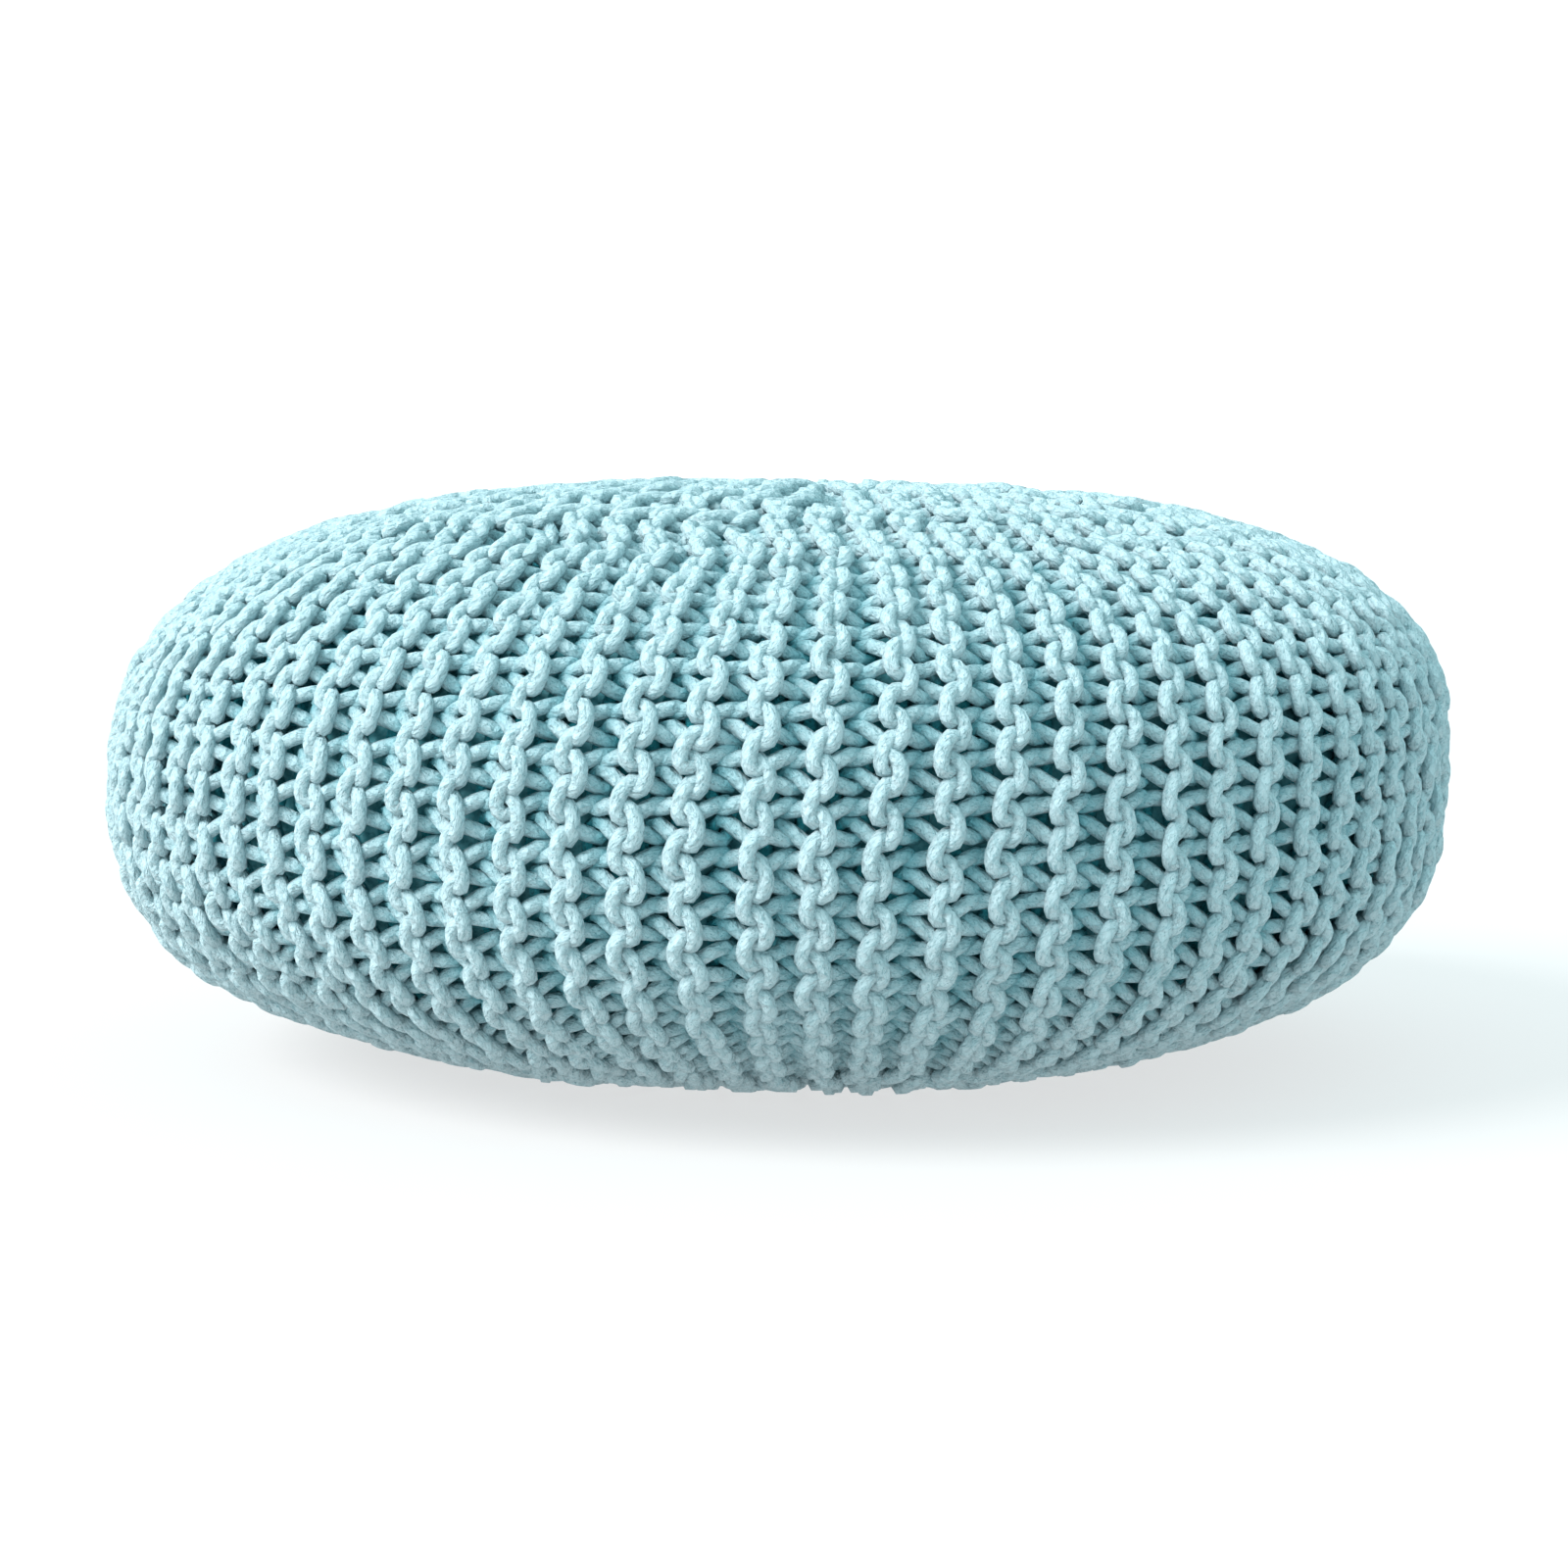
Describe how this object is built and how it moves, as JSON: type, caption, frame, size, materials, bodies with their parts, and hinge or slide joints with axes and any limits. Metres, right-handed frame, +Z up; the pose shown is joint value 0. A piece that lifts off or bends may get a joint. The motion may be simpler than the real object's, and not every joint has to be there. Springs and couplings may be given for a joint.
{
  "type": "knitted pouf",
  "caption": "Round, low, stuffed floor pouf with a chunky garter-stitch cover whose ridges run from the crown over the side to the underside.",
  "frame": {"origin": "on the surface the pouf rests on, under the middle of its bounding box", "axes": "+Z up through the crown, -Y towards the front that shows, +X to its right"},
  "size_m": [0.55, 0.55, 0.2399],
  "materials": {
    "cotton_cord": "matt pale aqua cotton cord, hand knitted"
  },
  "bodies": {
    "root": {"pouf": "cotton_cord"}
  },
  "joints": []
}
